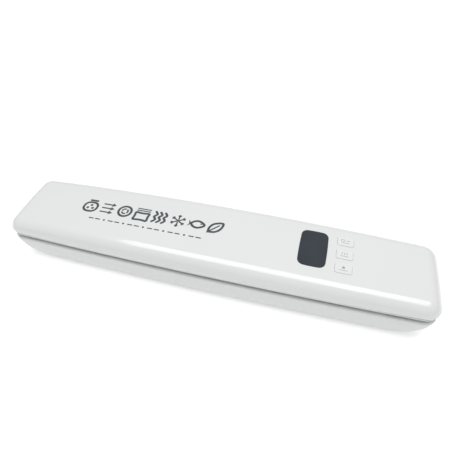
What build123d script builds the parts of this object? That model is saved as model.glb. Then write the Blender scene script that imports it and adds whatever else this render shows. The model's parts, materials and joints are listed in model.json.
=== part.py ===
"""Slim household vacuum sealer: a hinged glossy lid with its control board, over a base that holds the
vacuum trough, the heating strip, the diaphragm pump and the mains electronics.

Frame: millimetres, +X to the user's right, +Y to the hinge at the back, +Z up. The origin is on the surface
that the rubber feet stand on, under the middle of the body. The lid is modelled closed and unlatched.
"""

import math
import os

from build123d import *

# Overall body
length = 360.6
width = 72.0
height = 46.5
side_bow = 2.5  # how far each long side bulges between its corners
end_bow = 0.6  # the same for the short ends
corner_radius = 12.5
half_length = length / 2 - end_bow
half_width = width / 2 - side_bow

# Lid
crown_drop_long = 3.3  # how far the top falls from its middle to its ends
crown_drop_cross = 0.9  # and from its middle to its long sides
top_edge_radius = 11.5
curl_radius = 3.0  # where the cover's side turns in under itself
wall = 2.2
cover_z = 31.5  # underside of the lid cover
ledge_z = 33.5  # top of the ledge inside the cover that the liner fits in
ledge_inset = 5.2
liner_z = 30.0  # underside of the lid liner
liner_inset = 1.2
liner_thick_z = 33.4  # top of the liner's thick middle

# Base
rim_z = 27.0
rim_edge_radius = 1.6
foot_height = 1.0
base_inset = 0.4
base_wall = 2.4
floor_z = foot_height + base_wall
tuck_side = 6.0  # how far the base's sides draw in towards the floor
tuck_end = 24.0  # and how far its ends do
base_levels = 7
deck_z = 24.8
deck_thick_z = 23.6
deck_gap = 0.15

# Hinge
hinge_y = 32.6
hinge_z = 29.5
hinge_spots = (-100.0, 100.0)
knuckle_radius = 2.4
pin_radius = 1.25
pin_length = 24.0
lid_knuckle_length = 13.0
knuckle_gap = 0.4

# Vacuum trough, its gaskets and the heating strip
trough_x = 146.0
trough_y = (-13.0, 5.0)
trough_floor_z = 20.5
trough_wall = 1.8
trough_corner = 6.0
gasket_inner_gap = 1.4
gasket_width = 4.4
channel_slack = 0.2
channel_depth = 1.6
gasket_part_gap = 0.3
heater_y = (-28.0, -21.5)
heater_x = 148.0
heater_top_z = 27.5
strip_thickness = 0.2
strip_width = 3.0
terminal_x = (149.8, 156.0)
terminal_screw_x = 153.5
press_strip_z = 28.3

# Window and keys on the lid
window_centre = (83.9, 2.1)
window_size = (21.7, 35.6)
window_bow = 0.45
window_corner = 4.6
lens_seat_z = 44.2
key_x = 108.0
key_ys = (14.7, 1.4, -11.9)
key_size = (12.6, 8.6)
key_corner = 1.5
key_proud = 0.2
key_travel = 0.5
fit_gap = 0.15

# Control board in the lid
board_x = (66.0, 122.0)
board_y = (-22.0, 24.0)
board_z = 37.2
board_thickness = 1.6
board_post_inset = 4.0

# Latches and release buttons, right-hand side; the left is the mirror image
hook_x = (161.0, 163.0)
hook_y = (-25.0, -19.0)
barb_x = 159.6
barb_z = (23.5, 24.6)
slide_z = (21.7, 23.1)
release_y = 7.8
release_z = (14.5, 21.1)
release_x = 170.0
release_proud = 0.6
release_travel = 2.5
release_gap = 0.35
spring_rib_x = (156.5, 158.5)
spring_z = 17.8

# Fasteners
lid_screw_spots = [(-166, -8), (166, -8), (-145, 22), (-40, 22), (40, 22), (145, 22)]
base_screw_spots = [(-120, -22), (0, -22), (120, -22), (-149, -4), (-24, 25), (82, 25), (130, 22)]
foot_spots = [(-140, -17), (140, -17), (-140, 17), (140, 17)]
screw_radius = 1.25
pilot_radius = 1.3

# Pump, along X in the back of the base
pump_y = 19.5
pump_z = 13.6
pump_cover_x = (0.0, 8.0)
diaphragm_x = (8.0, 9.6)
pump_housing_x = (9.6, 30.0)
pump_half_size = (10.0, 9.0)
motor_x = (30.0, 60.0)
motor_radius = 12.1
motor_half_height = 9.15
shaft_radius = 1.0
bearing_gap = 0.03
eccentric_throw = 1.0
nozzle_y = 15.0
nozzle_z = 14.5
nozzle_radius = 2.0
port_x = -20.0
port_y = -4.0

# Mains inlet and electronics
inlet_x = -138.0
inlet_z = 13.0
inlet_face_y = 33.4
inlet_pad_y = 33.7
inlet_pin_spacing = 8.6
inlet_pin_radius = 1.18
power_board_x = (-122.0, -30.0)
power_board_y = (8.5, 29.0)
power_board_z = 7.0
power_post_spots = [(-118.5, 11.5), (-33.5, 11.5), (-118.5, 26.0), (-33.5, 26.0)]

# Lid switch
switch_x = 158.0
switch_y = 12.0
plunger_radius = 1.5
plunger_top_z = 28.2

os.makedirs("parts", exist_ok=True)


# ---------------------------------------------------------------- helpers


def save(builder, label):
    """Labels a finished piece and writes its STEP file."""
    builder.part.label = label
    export_step(builder.part, f"parts/{label}.step")


def block(x, y, z, mode=Mode.ADD):
    """A box given by its low and high coordinate along each axis."""
    with Locations(((x[0] + x[1]) / 2, (y[0] + y[1]) / 2, (z[0] + z[1]) / 2)):
        Box(abs(x[1] - x[0]), abs(y[1] - y[0]), abs(z[1] - z[0]), mode=mode)


def post(x, y, z, radius, mode=Mode.ADD):
    """An upright cylinder between two heights."""
    with Locations((x, y, (z[0] + z[1]) / 2)):
        Cylinder(radius, z[1] - z[0], mode=mode)


def rod(x, y, z, radius, mode=Mode.ADD):
    """A cylinder that lies along X between two places."""
    with Locations(((x[0] + x[1]) / 2, y, z)):
        Cylinder(radius, abs(x[1] - x[0]), rotation=(0, 90, 0), mode=mode)


def bowed_outline(inset_side, inset_end, radius, z):
    """The body's outline seen from above: four bowed sides and rounded corners, drawn in by the insets."""
    a = half_length - inset_end
    b = half_width - inset_side
    with BuildSketch(Plane.XY.offset(z)) as outline:
        with BuildLine():
            ThreePointArc((-a, -b), (0, -b - side_bow), (a, -b))
            ThreePointArc((a, -b), (a + end_bow, 0), (a, b))
            ThreePointArc((a, b), (0, b + side_bow), (-a, b))
            ThreePointArc((-a, b), (-a - end_bow, 0), (-a, -b))
        make_face()
        fillet(outline.vertices(), radius)
    return outline.sketch


def rounded_box_sketch(x, y, radius, z):
    """A rounded rectangle given by its low and high coordinate along X and Y."""
    with BuildSketch(Plane.XY.offset(z)) as shape:
        with Locations(((x[0] + x[1]) / 2, (y[0] + y[1]) / 2)):
            RectangleRounded(x[1] - x[0], y[1] - y[0], radius)
    return shape.sketch


def crown_surface_z(x, y):
    """Height of the lid's crowned top at a place."""
    return height - crown_drop_long * (x / half_length) ** 2 - crown_drop_cross * (2 * y / width) ** 2


def crown(lower):
    """A solid whose top is the lid's double-curved crown, lowered by the given amount."""
    reach_x = half_length * 1.1
    reach_y = width * 0.7
    drop_x = crown_drop_long * (reach_x / half_length) ** 2
    drop_y = crown_drop_cross * (2 * reach_y / width) ** 2
    net = []
    for x, rise_x in ((-reach_x, -drop_x), (0, drop_x), (reach_x, -drop_x)):
        row = []
        for y, rise_y in ((-reach_y, -drop_y), (0, drop_y), (reach_y, -drop_y)):
            row.append((x, y, height - lower + rise_x + rise_y))
        net.append(row)
    return Solid.extrude(Face.make_bezier_surface(net), Vector(0, 0, -height))


def dome(inset, bottom_z, low_radius=0.0):
    """The lid's outer form, drawn in by an inset, with a large radius round its top."""
    roof = crown(inset)
    with BuildPart() as form:
        extrude(bowed_outline(inset, inset, corner_radius - inset, bottom_z), amount=height - bottom_z + 1)
        add(roof, mode=Mode.INTERSECT)
        top_edges = [e for e in form.edges() if (e @ 0.5).Z > height - 12]
        fillet(top_edges, top_edge_radius - inset)
        if low_radius:
            fillet(form.edges().group_by(Axis.Z)[0], low_radius)
    return form.part


def hull(inset, bottom_z):
    """The base's boat-like form: upright at the rim, drawn in along an ellipse towards the floor."""
    sections = []
    last_angle = math.asin((rim_z - bottom_z) / rim_z)
    for level in range(base_levels):
        angle = last_angle * level / (base_levels - 1)
        tuck = 1 - math.cos(angle)
        sections.append(
            bowed_outline(
                base_inset + inset + tuck_side * tuck,
                base_inset + inset + tuck_end * tuck,
                corner_radius - base_inset - inset + 8.0 * tuck,
                rim_z * (1 - math.sin(angle)),
            )
        )
    with BuildPart() as form:
        loft(sections=sections)
    return form.part


def window_sketch(grow, z):
    """The display window: a rounded rectangle with slightly bowed sides."""
    cx, cy = window_centre
    a = window_size[0] / 2 - window_bow + grow
    b = window_size[1] / 2 - window_bow + grow
    with BuildSketch(Plane.XY.offset(z)) as shape:
        with BuildLine():
            ThreePointArc((cx - a, cy - b), (cx, cy - b - window_bow), (cx + a, cy - b))
            ThreePointArc((cx + a, cy - b), (cx + a + window_bow, cy), (cx + a, cy + b))
            ThreePointArc((cx + a, cy + b), (cx, cy + b + window_bow), (cx - a, cy + b))
            ThreePointArc((cx - a, cy + b), (cx - a - window_bow, cy), (cx - a, cy - b))
        make_face()
        fillet(shape.vertices(), window_corner + grow)
    return shape.sketch


def key_sketch(y, grow, z):
    """A key's outline, or its opening in the cover when it grows."""
    across = (key_x - key_size[0] / 2 - grow, key_x + key_size[0] / 2 + grow)
    along = (y - key_size[1] / 2 - grow, y + key_size[1] / 2 + grow)
    return rounded_box_sketch(across, along, key_corner + grow, z)


def ring(outer_x, outer_y, inner_x, inner_y, z, mode=Mode.ADD):
    """A rounded rectangular ring, such as a gasket, between two heights."""
    outer = rounded_box_sketch(outer_x, outer_y, trough_corner + 2.0, z[0])
    inner = rounded_box_sketch(inner_x, inner_y, trough_corner - 2.0, z[0])
    extrude(outer - inner, amount=z[1] - z[0], mode=mode)


def gasket_bounds(slack):
    """The low and high coordinates of a gasket ring's outer and inner edges, widened by a slack."""
    inner_x = trough_x + gasket_inner_gap - slack
    inner_y = (trough_y[0] - gasket_inner_gap + slack, trough_y[1] + gasket_inner_gap - slack)
    grow = gasket_width + 2 * slack
    outer_x = inner_x + grow
    outer_y = (inner_y[0] - grow, inner_y[1] + grow)
    return (-outer_x, outer_x), outer_y, (-inner_x, inner_x), inner_y


def wire(points, bend, radius):
    """A round wire or tube along straight runs joined by tangent arcs."""
    with BuildPart() as lead:
        with BuildLine() as route:
            FilletPolyline(*points, radius=bend)
        with BuildSketch(Plane(origin=route.line @ 0, z_dir=route.line % 0)):
            Circle(radius)
        sweep()
    return lead.part


def pan_screw(x, y, head_z, tip_z, radius, head_radius, head_height):
    """A cross-recessed pan-head screw along Z, with its head's seat at head_z and its tip at tip_z."""
    away = 1 if head_z > tip_z else -1
    outer_z = head_z + away * head_height
    low, high = sorted((head_z, outer_z))
    post(x, y, (low, high), head_radius)
    low, high = sorted((head_z, tip_z))
    post(x, y, (low, high), radius)
    recess = sorted((outer_z, outer_z - away * head_height * 0.55))
    arm = head_radius * 0.62
    block((x - arm, x + arm), (y - 0.32, y + 0.32), recess, mode=Mode.SUBTRACT)
    block((x - 0.32, x + 0.32), (y - arm, y + arm), recess, mode=Mode.SUBTRACT)


# ---------------------------------------------------------------- lid cover

with BuildPart() as lid_cover:
    add(dome(0.0, cover_z, curl_radius))
    add(dome(wall, ledge_z), mode=Mode.SUBTRACT)
    opening = bowed_outline(ledge_inset, ledge_inset, corner_radius - ledge_inset, cover_z - 1)
    extrude(opening, amount=ledge_z - cover_z + 1.5, mode=Mode.SUBTRACT)
    for x, y in lid_screw_spots:
        post(x, y, (liner_thick_z + 0.1, crown_surface_z(x, y) - wall / 2), 3.2)
        post(x, y, (ledge_z - 1, 41.5), pilot_radius, mode=Mode.SUBTRACT)
    # The window's opening has a ledge that the lens rests on.
    extrude(window_sketch(fit_gap, lens_seat_z), amount=6, mode=Mode.SUBTRACT)
    extrude(window_sketch(-1.8, board_z), amount=12, mode=Mode.SUBTRACT)
    for y in key_ys:
        extrude(key_sketch(y, fit_gap, board_z), amount=12, mode=Mode.SUBTRACT)
    # Room for the base's hinge knuckles.
    for spot in hinge_spots:
        rod((spot - 12.6, spot + 12.6), hinge_y, hinge_z, knuckle_radius + 0.5, mode=Mode.SUBTRACT)
save(lid_cover, "lid_cover")

# ---------------------------------------------------------------- lid liner

gasket_channel = gasket_bounds(channel_slack)

with BuildPart() as lid_liner:
    liner_outline = bowed_outline(liner_inset, liner_inset, corner_radius - liner_inset, liner_z)
    extrude(liner_outline, amount=cover_z - liner_z)
    fillet(lid_liner.edges().group_by(Axis.Z)[0], 0.5)
    # Upstanding rim inside the cover's ledge.
    rim_outer = bowed_outline(ledge_inset + fit_gap, ledge_inset + fit_gap, 7.0, cover_z)
    rim_inner = bowed_outline(ledge_inset + 1.7, ledge_inset + 1.7, 5.5, cover_z)
    extrude(rim_outer - rim_inner, amount=1.7)
    block((-156, 156), (-26.9, 13.5), (cover_z, liner_thick_z))
    for spot in lid_screw_spots:
        post(spot[0], spot[1], (cover_z, liner_thick_z), 3.6)
    for x in (board_x[0] + board_post_inset, board_x[1] - board_post_inset):
        for y in (board_y[0] + board_post_inset, board_y[1] - board_post_inset):
            post(x, y, (cover_z, board_z), 2.6)
            post(x, y, (liner_thick_z + 0.4, board_z), 1.0, mode=Mode.SUBTRACT)
    # The upper half of the vacuum chamber, the gasket's channel and the press strip's channel.
    chamber = rounded_box_sketch((-trough_x, trough_x), trough_y, trough_corner, liner_z)
    extrude(chamber, amount=2.0, mode=Mode.SUBTRACT)
    ring(*gasket_channel, (liner_z, liner_z + channel_depth), mode=Mode.SUBTRACT)
    strip_x = (-heater_x - fit_gap, heater_x + fit_gap)
    strip_y = (heater_y[0] - fit_gap, heater_y[1] + fit_gap)
    block(strip_x, strip_y, (liner_z, liner_z + channel_depth), mode=Mode.SUBTRACT)
    for spot in lid_screw_spots:
        post(spot[0], spot[1], (liner_z, liner_z + 1.4), 2.7, mode=Mode.SUBTRACT)
        post(spot[0], spot[1], (liner_z, liner_thick_z), 1.45, mode=Mode.SUBTRACT)
    for side in (-1, 1):
        slot_x = (side * (hook_x[0] - 0.1), side * (hook_x[1] + 0.1))
        block(slot_x, (hook_y[0] - 0.1, hook_y[1] + 0.1), (liner_z, cover_z), mode=Mode.SUBTRACT)
    post(switch_x, switch_y, (plunger_top_z + 0.3, liner_z + 0.5), 2.5)
    # Hinge: the lid's knuckle, and room for the base's pair beside it.
    for spot in hinge_spots:
        half = lid_knuckle_length / 2
        rod((spot - 12.6, spot + 12.6), hinge_y, hinge_z, knuckle_radius + 0.5, mode=Mode.SUBTRACT)
        rod((spot - half, spot + half), hinge_y, hinge_z, knuckle_radius)
        block((spot - half, spot + half), (hinge_y - 4.2, hinge_y), (liner_z, cover_z))
        rod((spot - half, spot + half), hinge_y, hinge_z, pin_radius + 0.05, mode=Mode.SUBTRACT)
save(lid_liner, "lid_liner")

# ---------------------------------------------------------------- window, keys and their board

with BuildPart() as display_lens:
    extrude(window_sketch(0.0, lens_seat_z), amount=6)
    add(crown(0.0), mode=Mode.INTERSECT)
save(display_lens, "display_lens")

key_flange_top = crown_surface_z(key_x + 8, 20.5) - wall - 0.2
key_flange_thickness = 0.8
tact_top_z = key_flange_top - key_flange_thickness - key_travel - 0.05
key_names = ("vacuum_seal_key", "seal_only_key", "stop_key")
crown_of_keys = crown(-key_proud)

for name, y in zip(key_names, key_ys):
    with BuildPart() as key:
        extrude(key_sketch(y, 0.0, key_flange_top - key_flange_thickness), amount=8)
        add(crown_of_keys, mode=Mode.INTERSECT)
        extrude(key_sketch(y, 1.2, key_flange_top - key_flange_thickness), amount=key_flange_thickness)
    save(key, name)

with BuildPart() as control_board:
    board_sketch = rounded_box_sketch(board_x, board_y, 2.0, board_z)
    extrude(board_sketch, amount=board_thickness)
    for x in (board_x[0] + board_post_inset, board_x[1] - board_post_inset):
        for y in (board_y[0] + board_post_inset, board_y[1] - board_post_inset):
            post(x, y, (board_z, board_z + board_thickness), 1.2, mode=Mode.SUBTRACT)
save(control_board, "control_board")

board_top = board_z + board_thickness

with BuildPart() as control_board_screws:
    for x in (board_x[0] + board_post_inset, board_x[1] - board_post_inset):
        for y in (board_y[0] + board_post_inset, board_y[1] - board_post_inset):
            pan_screw(x, y, board_top, liner_thick_z + 0.8, 0.95, 2.0, 1.2)
save(control_board_screws, "control_board_screws")

with BuildPart() as tact_switches:
    for y in key_ys:
        block((key_x - 3, key_x + 3), (y - 3, y + 3), (board_top, tact_top_z - 0.6))
        post(key_x, y, (tact_top_z - 0.6, tact_top_z), 1.7)
save(tact_switches, "tact_switches")

led_ys = (-8.0, 0.0, 8.0, 14.0)
guide_x = (window_centre[0] - 7.2, window_centre[0] + 7.2)
guide_y = (-11.6, 17.6)
guide_top_z = lens_seat_z - 0.8
led_half_x = 1.4
led_half_y = 1.75

with BuildPart() as indicator_leds:
    for y in led_ys:
        led_x = (window_centre[0] - led_half_x, window_centre[0] + led_half_x)
        block(led_x, (y - led_half_y, y + led_half_y), (board_top, board_top + 1.3))
save(indicator_leds, "indicator_leds")

with BuildPart() as light_guide:
    block(guide_x, guide_y, (board_top, guide_top_z))
    for y in led_ys:
        well_x = (window_centre[0] - 3.5, window_centre[0] + 3.5)
        block(well_x, (y - 2.5, y + 2.5), (board_top, guide_top_z - 1.0), mode=Mode.SUBTRACT)
save(light_guide, "light_guide")

# ---------------------------------------------------------------- lid gasket, press strip, hooks and screws

gasket = gasket_bounds(0.0)
part_z = (rim_z + liner_z) / 2

with BuildPart() as upper_gasket:
    ring(*gasket, (part_z + gasket_part_gap / 2, liner_z + channel_depth))
    fillet(upper_gasket.edges().group_by(Axis.Z)[0], 0.7)
save(upper_gasket, "upper_gasket")

with BuildPart() as lower_gasket:
    ring(*gasket, (rim_z - channel_depth, part_z - gasket_part_gap / 2))
    fillet(lower_gasket.edges().group_by(Axis.Z)[-1], 0.7)
save(lower_gasket, "lower_gasket")

with BuildPart() as press_strip:
    block((-heater_x, heater_x), heater_y, (press_strip_z, liner_z + channel_depth))
    fillet(press_strip.edges().group_by(Axis.Z)[0].filter_by(Axis.X), 0.8)
save(press_strip, "press_strip")

with BuildPart() as latch_hooks:
    for side in (-1, 1):
        block((side * 157.2, side * 166.0), (hook_y[0] - 1.5, hook_y[1] + 1.5), (cover_z, cover_z + 1.6))
        block((side * hook_x[0], side * hook_x[1]), hook_y, (barb_z[0], cover_z))
        # A barb with a sloping lead-in below and a flat catch above.
        with BuildSketch(Plane.XZ.offset(-hook_y[1])):
            with BuildLine():
                Polyline(
                    (side * hook_x[0], barb_z[0]),
                    (side * hook_x[0], barb_z[1]),
                    (side * barb_x, barb_z[1]),
                    (side * barb_x, barb_z[1] - 0.4),
                    (side * hook_x[0], barb_z[0]),
                )
            make_face()
        extrude(amount=hook_y[1] - hook_y[0])
save(latch_hooks, "latch_hooks")

with BuildPart() as lid_screws:
    for spot in lid_screw_spots:
        pan_screw(spot[0], spot[1], liner_z + 1.4, 40.5, screw_radius, 2.5, 1.3)
save(lid_screws, "lid_screws")

# ---------------------------------------------------------------- base shell

inner_hull = hull(base_wall, floor_z)

with BuildPart() as base_shell:
    add(hull(0.0, foot_height))
    fillet(base_shell.edges().group_by(Axis.Z)[-1], rim_edge_radius)
    # A flat pad on the back wall frames the mains inlet.
    block((inlet_x - 13, inlet_x + 13), (26, inlet_pad_y), (inlet_z - 9, inlet_z + 9))
    add(inner_hull, mode=Mode.SUBTRACT)
    with BuildPart(mode=Mode.PRIVATE) as shell_fittings:
        for spot in base_screw_spots:
            post(spot[0], spot[1], (foot_height + 1, 9.0), 4.2)
        for spot in power_post_spots:
            post(spot[0], spot[1], (foot_height + 1, power_board_z), 2.5)
        for x in (34.0, 56.0):
            block((x - 1, x + 1), (7, 32.5), (foot_height + 1, pump_z))
        for side in (-1, 1):
            rib_x = (side * spring_rib_x[0], side * spring_rib_x[1])
            block(rib_x, (-5, 5), (foot_height + 1, 21.0))
            block((side * 164.0, side * 169.0), (-15, -9), (foot_height + 3, slide_z[0] - 0.4))
        add(hull(base_wall / 2, foot_height + 1.2), mode=Mode.INTERSECT)
    add(shell_fittings.part)
    # The motor's flat-sided seat in the two saddle ribs.
    with BuildPart(mode=Mode.PRIVATE) as motor_seat:
        rod((motor_x[0], motor_x[1]), pump_y, pump_z, motor_radius + 0.1)
        seat_z = (pump_z - motor_half_height - 0.1, pump_z + motor_half_height)
        block(motor_x, (pump_y - 14, pump_y + 14), seat_z, mode=Mode.INTERSECT)
    add(motor_seat.part, mode=Mode.SUBTRACT)
    for spot in base_screw_spots:
        post(spot[0], spot[1], (0.0, 5.0), 3.0, mode=Mode.SUBTRACT)
        post(spot[0], spot[1], (0.0, 10.0), 1.6, mode=Mode.SUBTRACT)
    for spot in power_post_spots:
        post(spot[0], spot[1], (floor_z, power_board_z + 1), 1.0, mode=Mode.SUBTRACT)
    for spot in foot_spots:
        post(spot[0], spot[1], (0.0, foot_height + 0.5), 4.6, mode=Mode.SUBTRACT)
    # Openings: the mains inlet, both release buttons and the pump's exhaust slots.
    block((inlet_x - 10, inlet_x + 10), (20, 40), (inlet_z - 7, inlet_z + 7), mode=Mode.SUBTRACT)
    for side in (-1, 1):
        window_x = (side * 166.5, side * 185.0)
        window_y = (-release_y - release_gap, release_y + release_gap)
        window_z = (release_z[0] - release_gap, release_z[1] + release_gap)
        block(window_x, window_y, window_z, mode=Mode.SUBTRACT)
    with Locations((-8, 22), (-4, 22), (0, 22), (4, 22), (8, 22)):
        Box(1.8, 9.0, 2 * floor_z + 1, mode=Mode.SUBTRACT)
    for spot in hinge_spots:
        rod((spot - 6.9, spot + 6.9), hinge_y, hinge_z, knuckle_radius + 0.45, mode=Mode.SUBTRACT)
save(base_shell, "base_shell")

# ---------------------------------------------------------------- base deck

with BuildPart() as deck_form:
    deck_inset = base_inset + base_wall + deck_gap
    extrude(bowed_outline(deck_inset, deck_inset, corner_radius - deck_inset, deck_z), amount=rim_z - deck_z)
    block((-153.3, 153.3), (-29.3, 12.5), (deck_thick_z, deck_z))
    tub_x = (-trough_x - trough_wall, trough_x + trough_wall)
    tub_y = (trough_y[0] - trough_wall, trough_y[1] + trough_wall)
    tub_z = trough_floor_z - trough_wall
    tub_outline = rounded_box_sketch(tub_x, tub_y, trough_corner + trough_wall, tub_z)
    extrude(tub_outline, amount=deck_z - tub_z)
    for spot in base_screw_spots:
        post(spot[0], spot[1], (9.2, deck_z), 3.5)
    block((162, 171), (8.1, 9.1), (slide_z[0] - 0.5, deck_z))
    block((-171, -162), (8.1, 9.1), (slide_z[0] - 0.5, deck_z))
    # Trough, gasket channel and heater channel.
    pocket = rounded_box_sketch((-trough_x, trough_x), trough_y, trough_corner, trough_floor_z)
    extrude(pocket, amount=rim_z - trough_floor_z, mode=Mode.SUBTRACT)
    extrude(tub_outline, amount=trough_wall, mode=Mode.SUBTRACT)
    ring(*gasket_channel, (rim_z - channel_depth, rim_z), mode=Mode.SUBTRACT)
    block(strip_x, strip_y, (25.2, rim_z), mode=Mode.SUBTRACT)
    for side in (-1, 1):
        terminal_pocket = (side * terminal_x[0], side * (terminal_x[1] + fit_gap))
        terminal_y = (heater_y[0] + 0.6, heater_y[1] - 0.6)
        block(terminal_pocket, terminal_y, (24.9, rim_z), mode=Mode.SUBTRACT)
        post(side * terminal_screw_x, sum(heater_y) / 2, (20, rim_z), 1.3, mode=Mode.SUBTRACT)
        block((side * 158.5, side * 164.5), (-26, -18), (20, rim_z), mode=Mode.SUBTRACT)
    for spot in base_screw_spots:
        post(spot[0], spot[1], (9.0, 18.5), pilot_radius, mode=Mode.SUBTRACT)
    post(switch_x, switch_y, (deck_z, rim_z), plunger_radius + 0.3, mode=Mode.SUBTRACT)
    # The base's hinge knuckles stand in pairs on the back edge.
    for spot in hinge_spots:
        rod((spot - 6.9, spot + 6.9), hinge_y, hinge_z, knuckle_radius + 0.45, mode=Mode.SUBTRACT)
        for direction in (-1, 1):
            near = spot + direction * (lid_knuckle_length / 2 + knuckle_gap)
            far = spot + direction * pin_length / 2
            rod((near, far), hinge_y, hinge_z, knuckle_radius)
            block((near, far), (hinge_y - knuckle_radius, hinge_y - 0.4), (rim_z - 0.5, hinge_z))
            rod((near, far), hinge_y, hinge_z, pin_radius + 0.02, mode=Mode.SUBTRACT)

# The deck is made of a front rail that carries the heater, a rear rail that carries the hinge, and two ends
# between them. A plate closes the trough from below.
deck_parts = (
    ("deck_front", (-40.0, trough_y[0])),
    ("deck_rear", (trough_y[1], 40.0)),
    ("deck_ends", trough_y),
)
for name, y_range in deck_parts:
    with BuildPart() as deck_piece:
        add(deck_form.part)
        block((-200, 200), y_range, (0, 60), mode=Mode.INTERSECT)
    save(deck_piece, name)

with BuildPart() as trough_floor:
    extrude(tub_outline, amount=trough_wall)
    post(port_x, port_y, (tub_z, trough_floor_z), 2.6, mode=Mode.SUBTRACT)
save(trough_floor, "trough_floor")

with BuildPart() as hinge_pins:
    for spot in hinge_spots:
        rod((spot - pin_length / 2, spot + pin_length / 2), hinge_y, hinge_z, pin_radius)
    chamfer(hinge_pins.edges().filter_by(GeomType.CIRCLE), 0.25)
save(hinge_pins, "hinge_pins")

with BuildPart() as base_screws:
    for spot in base_screw_spots:
        pan_screw(spot[0], spot[1], 5.0, 17.5, screw_radius, 2.6, 1.9)
save(base_screws, "base_screws")

with BuildPart() as rubber_feet:
    for spot in foot_spots:
        post(spot[0], spot[1], (0.0, foot_height + 0.5), 4.5)
    chamfer(rubber_feet.edges().group_by(Axis.Z)[0], 0.3)
save(rubber_feet, "rubber_feet")

# ---------------------------------------------------------------- heating strip

heater_mid_y = sum(heater_y) / 2
strip_top_z = heater_top_z + strip_thickness
tape_thickness = 0.2

with BuildPart() as heater_bar:
    block((-heater_x, heater_x), heater_y, (25.2, heater_top_z))
save(heater_bar, "heater_bar")

with BuildPart() as heater_strip:
    strip_half = strip_width / 2
    half_run = terminal_x[1] - 0.6
    strip_y_range = (heater_mid_y - strip_half, heater_mid_y + strip_half)
    block((-half_run, half_run), strip_y_range, (heater_top_z, strip_top_z))
    for side in (-1, 1):
        post(side * terminal_screw_x, heater_mid_y, (heater_top_z, strip_top_z), 1.1, mode=Mode.SUBTRACT)
save(heater_strip, "heater_strip")

with BuildPart() as heater_tape:
    # A hat-shaped band of tape: stuck to the deck on both sides and over the strip in the middle.
    front_y, back_y = strip_y[0] - 0.05, strip_y[1] + 0.05
    brim_top = rim_z + tape_thickness
    tape_top = strip_top_z + tape_thickness
    with BuildSketch(Plane.YZ.offset(-146.0)):
        with BuildLine():
            Polyline(
                (front_y - 2.2, rim_z),
                (front_y, rim_z),
                (front_y, strip_top_z),
                (back_y, strip_top_z),
                (back_y, rim_z),
                (back_y + 1.9, rim_z),
                (back_y + 1.9, brim_top),
                (back_y + tape_thickness, brim_top),
                (back_y + tape_thickness, tape_top),
                (front_y - tape_thickness, tape_top),
                (front_y - tape_thickness, brim_top),
                (front_y - 2.2, brim_top),
                close=True,
            )
        make_face()
    extrude(amount=292.0)
save(heater_tape, "heater_tape")

with BuildPart() as heater_terminals:
    for side in (-1, 1):
        terminal_run = (side * (terminal_x[0] + fit_gap), side * terminal_x[1])
        block(terminal_run, (heater_y[0] + 0.8, heater_y[1] - 0.8), (24.9, heater_top_z))
        post(side * terminal_screw_x, heater_mid_y, (24, heater_top_z), 1.05, mode=Mode.SUBTRACT)
save(heater_terminals, "heater_terminals")

with BuildPart() as terminal_screws:
    for side in (-1, 1):
        pan_screw(side * terminal_screw_x, heater_mid_y, strip_top_z, 22.6, 1.0, 1.9, 0.9)
save(terminal_screws, "terminal_screws")

# ---------------------------------------------------------------- latches and release buttons

release_body = hull(-release_proud, foot_height)

for side_name, side in (("left", -1), ("right", 1)):
    with BuildPart() as release_button:
        block((side * release_x, side * 182), (-release_y, release_y), release_z)
        add(release_body, mode=Mode.INTERSECT)
        # The riser and the latch plate that reaches round the lid's hook.
        block((side * release_x, side * 173), (-release_y, release_y), (release_z[1] - 0.5, slide_z[1]))
        block((side * 168, side * 173), (hook_y[0] - 2, release_y), slide_z)
        for rail_y in ((hook_y[0] - 2, hook_y[0] - 0.4), (hook_y[1] + 0.4, hook_y[1] + 2)):
            block((side * 157, side * 168), rail_y, slide_z)
        block((side * 157, side * (hook_x[0] - 0.2)), (hook_y[0] - 2, hook_y[1] + 2), slide_z)
        # A socket that holds the spring's outer end.
        rod((side * release_x, side * (release_x + 2)), 0, spring_z, 3.2, mode=Mode.SUBTRACT)
    save(release_button, f"release_button_{side_name}")

spring_turns = 5.0
spring_coil_radius = 2.3
spring_wire_radius = 0.3

for side_name, side in (("left", -1), ("right", 1)):
    start_x = side * (spring_rib_x[1] + spring_wire_radius + 0.02)
    run = side * (release_x + 2 - spring_wire_radius - 0.02) - start_x
    with BuildPart() as release_spring:
        with BuildLine() as coil:
            pitch = abs(run) / spring_turns
            spring_foot = (start_x, 0, spring_z)
            Helix(pitch, abs(run), spring_coil_radius, center=spring_foot, direction=(side, 0, 0))
        with BuildSketch(Plane(origin=coil.line @ 0, z_dir=coil.line % 0)):
            Circle(spring_wire_radius)
        sweep(is_frenet=True)
    save(release_spring, f"release_spring_{side_name}")

# ---------------------------------------------------------------- pump

pump_box_y = (pump_y - pump_half_size[0], pump_y + pump_half_size[0])
pump_box_z = (pump_z - pump_half_size[1], pump_z + pump_half_size[1])
cup_spots = [(pump_y + 4.4 * math.cos(a), pump_z + 4.4 * math.sin(a)) for a in (0.5, 2.6, 4.7)]

with BuildPart() as pump_cover:
    block(pump_cover_x, pump_box_y, pump_box_z)
    fillet(pump_cover.edges().filter_by(Axis.X), 2.5)
    rod((-7, 0.5), nozzle_y, nozzle_z, nozzle_radius)
    rod((-5, 0.5), pump_y + 4.5, 11.0, nozzle_radius)
    rod((-8, 4), nozzle_y, nozzle_z, 1.1, mode=Mode.SUBTRACT)
    rod((-8, 4), pump_y + 4.5, 11.0, 1.1, mode=Mode.SUBTRACT)
    for y, z in cup_spots:
        rod((5, 8), y, z, 2.6, mode=Mode.SUBTRACT)
save(pump_cover, "pump_cover")

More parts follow.
